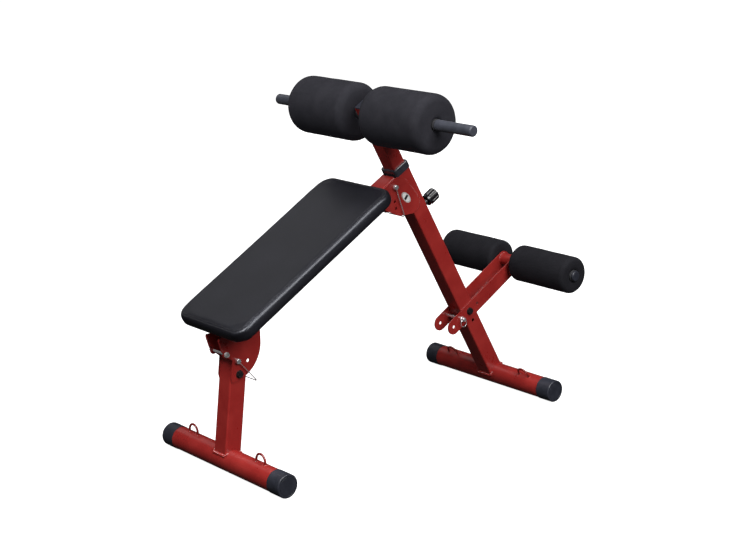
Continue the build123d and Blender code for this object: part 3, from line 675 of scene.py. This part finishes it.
slab_points, slab_faces = slab()
cushion_mesh = bpy.data.meshes.new("pad_cushion")
cushion_mesh.from_pydata([Vector(p) * MM for p in slab_points], [], slab_faces)
cushion = bpy.data.objects.new("pad_cushion", cushion_mesh)
bpy.context.scene.collection.objects.link(cushion)
cushion.matrix_world = PAD_PLACE
remesh = cushion.modifiers.new("even", "REMESH")
remesh.mode = "VOXEL"
remesh.voxel_size = VOXEL
relax = cushion.modifiers.new("relax", "SMOOTH")
relax.factor, relax.iterations = 0.5, 4
apply_modifiers(cushion)
inflate(cushion)
smooth = cushion.modifiers.new("fine", "SUBSURF")
smooth.levels = smooth.render_levels = 1
apply_modifiers(cushion)

# The cover dips along the seam, where the top panel joins the border.
for v in cushion.data.vertices:
    x, y, z = v.co / MM
    if z > PAD_HIGH - 14.0:
        v.co.z -= SEAM_DEPTH * exp(-((edge_distance(x, y) - SEAM_INSET) / SEAM_WIDTH) ** 2) * MM
surface = BVHTree.FromPolygons([v.co for v in cushion.data.vertices],
                               [f.vertices for f in cushion.data.polygons])


def steps_along(inset, height, pitch, corner_steps):
    """Pairs of neighbouring places around the pad's plan, at a distance in from its edge."""
    loop = [Vector((x, y, height)) * MM for x, y in outline(inset, corner_steps)]
    stops = along_path(loop, pitch * MM, True)
    return zip(stops, stops[1:] + stops[:1])


def stitches(inset, length=3.0, pitch=4.4, radius=0.42):
    """A row of stitches laid on the cushion's top."""
    parts = []
    for here, after in steps_along(inset, PAD_HIGH + 20.0, pitch, 12):
        way = (after - here).normalized()
        rings = []
        for k in range(6):
            t = k / 5
            hit = surface.ray_cast(here + way * (0.7 + length * t) * MM, -UP)[0]
            centre = hit + UP * (0.1 + 0.42 * sin(pi * t)) * MM
            rings += circle(centre, way.cross(UP), UP, radius * (0.55 + 0.45 * sin(pi * t)), 6)
        parts.append((rings, ring_faces(6, 6)))
    return parts


def on_pad(name, parts, slot_name, finish=None):
    """A piece made of parts that are given in the pad's own frame."""
    points, faces = merged(parts)
    return piece(name, [PAD_PLACE @ Vector(p) for p in points], faces, "board", slot_name, finish)


on_pad("pad_stitching", stitches(SEAM_INSET - 2.6) + stitches(SEAM_INSET + 2.6), "vinyl", THREAD)
cushion.matrix_world = Matrix.Identity(4)
cushion.data.transform(PAD_PLACE)
settle(cushion, "board", "vinyl")
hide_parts("pad")

# The cover is pulled down over the plywood's edge and stapled underneath.
wrap_levels = [(1.1, PLY_HIGH + 1.0), (1.1, PLY_LOW - 0.2), (0.3, PLY_LOW - 1.1), (-10.0, PLY_LOW - 1.0),
               (-20.4, PLY_LOW - 1.1), (-20.8, PLY_LOW - 0.7), (-20.4, PLY_LOW - 0.25),
               (0.15, PLY_LOW - 0.25), (0.15, PLY_HIGH + 1.0)]
wrap_points = []
for spread, height in wrap_levels:
    for x, y in outline(PLY_INSET - spread):
        ripple = 0.35 * noise.noise(Vector((x, y, height)) * 0.09)
        outward = Vector((x, y, 0)).normalized() * ripple
        shift = outward if spread > 0.2 else Vector((0, 0, ripple * 0.4 - 0.15))
        wrap_points.append((Vector((x, y, height)) + shift) * MM)
wrap_sides = len(wrap_points) // len(wrap_levels)
on_pad("pad_wrap", [(wrap_points, ring_faces(len(wrap_levels), wrap_sides, closed_along=True))], "vinyl")


def staples(inset, pitch=38.0, half=4.6, radius=0.45):
    """Wire staples across the folded edge of the cover."""
    bends = [(-half, 0.9), (-half, -0.1), (-half + 0.6, -0.4), (half - 0.6, -0.4), (half, -0.1), (half, 0.9)]
    parts = []
    for here, after in steps_along(inset, PLY_LOW - 1.25, pitch, 8):
        way = (after - here).normalized()
        rings = []
        for along, rise in bends:
            lift = UP if abs(along) < half - 0.1 else way
            rings += circle(here + (way * along + UP * rise) * MM, way.cross(UP), lift, radius, 6)
        parts.append((rings, ring_faces(len(bends), 6)))
    return parts


on_pad("pad_staples", staples(PLY_INSET + 11.0), "zinc")

# ---------------------------------------------------------------- stage
FLOOR_REACH = 60.0
floor_mesh = bpy.data.meshes.new("floor")
floor_corners = [(x * FLOOR_REACH, y * FLOOR_REACH, 0) for x, y in ((-1, -1), (1, -1), (1, 1), (-1, 1))]
floor_mesh.from_pydata(floor_corners, [], [(0, 1, 2, 3)])
floor = bpy.data.objects.new("floor", floor_mesh)
bpy.context.scene.collection.objects.link(floor)
floor.location.z = -0.0005
pale = bpy.data.materials.new("pale_floor")
pale.use_nodes = True
pale_shader = pale.node_tree.nodes["Principled BSDF"]
pale_shader.inputs["Base Color"].default_value = (0.5, 0.5, 0.5, 1)
pale_shader.inputs["Roughness"].default_value = 0.9
pale_shader.inputs["Specular IOR Level"].default_value = 0.1
pale_shader.inputs["Emission Color"].default_value = (1, 1, 1, 1)
pale_shader.inputs["Emission Strength"].default_value = 1.0
floor_mesh.materials.append(pale)
floor.visible_diffuse = False
floor.visible_glossy = False


LIT = Vector((0, 0, 0.4))


def area(name, place, size, power):
    """A rectangular studio light that faces the object."""
    data = bpy.data.lights.new(name, "AREA")
    data.shape, data.size, data.size_y, data.energy = "RECTANGLE", size[0], size[1], power
    made = bpy.data.objects.new(name, data)
    bpy.context.scene.collection.objects.link(made)
    made.location = place
    made.rotation_mode = "QUATERNION"
    made.rotation_quaternion = (Vector(place) - LIT).to_track_quat("Z", "Y")
    return made


area("key", (2.4, 0.14, 4.26), (2.2, 2.2), 85.0)
area("side", (3.7, -0.2, 2.9), (2.4, 2.4), 135.0)
area("front", (0.7, -2.6, 4.2), (2.4, 1.6), 190.0)
area("left", (-3.3, 0.2, 3.3), (2.6, 2.6), 8.0)
back_left = area("back_left", (-3.2, 3.4, 1.6), (2.5, 2.0), 75.0)
back_left.visible_glossy = False

# The camera sees a white world; surfaces get only a faint, even light from it.
world = bpy.data.worlds.new("studio")
world.use_nodes = True
bpy.context.scene.world = world
tree = world.node_tree
background = tree.nodes["Background"]
background.inputs["Color"].default_value = (1, 1, 1, 1)
bright = tree.nodes.new("ShaderNodeBackground")
bright.inputs["Strength"].default_value = 1.0
seen = tree.nodes.new("ShaderNodeLightPath")
strength = tree.nodes.new("ShaderNodeMapRange")
strength.inputs["To Min"].default_value = 0.08
strength.inputs["To Max"].default_value = 0.015
tree.links.new(seen.outputs["Is Glossy Ray"], strength.inputs["Value"])
tree.links.new(strength.outputs[0], background.inputs["Strength"])
blend = tree.nodes.new("ShaderNodeMixShader")
tree.links.new(seen.outputs["Is Camera Ray"], blend.inputs[0])
tree.links.new(background.outputs[0], blend.inputs[1])
tree.links.new(bright.outputs[0], blend.inputs[2])
tree.links.new(blend.outputs[0], tree.nodes["World Output"].inputs["Surface"])
bpy.context.scene.view_settings.view_transform = "Standard"

# ---------------------------------------------------------------- camera
CAMERA_PLACE = (3.0469, -2.6474, 1.5303)
yaw, pitch, roll = radians(49.13293), radians(-15.50907), radians(-1.48385)
ahead = Vector((-sin(yaw) * cos(pitch), cos(yaw) * cos(pitch), sin(pitch)))
right = Vector((cos(yaw), sin(yaw), 0))
above = right.cross(ahead)
camera_x = right * cos(roll) + above * sin(roll)
camera_y = above * cos(roll) - right * sin(roll)
camera_data = bpy.data.cameras.new("camera")
camera_data.lens = 74.77
camera_data.sensor_width = 36.0
camera_data.clip_end = 200.0
camera = bpy.data.objects.new("camera", camera_data)
bpy.context.scene.collection.objects.link(camera)
turn = Matrix((camera_x, camera_y, -ahead)).transposed().to_4x4()
camera.matrix_world = Matrix.Translation(CAMERA_PLACE) @ turn
bpy.context.scene.camera = camera
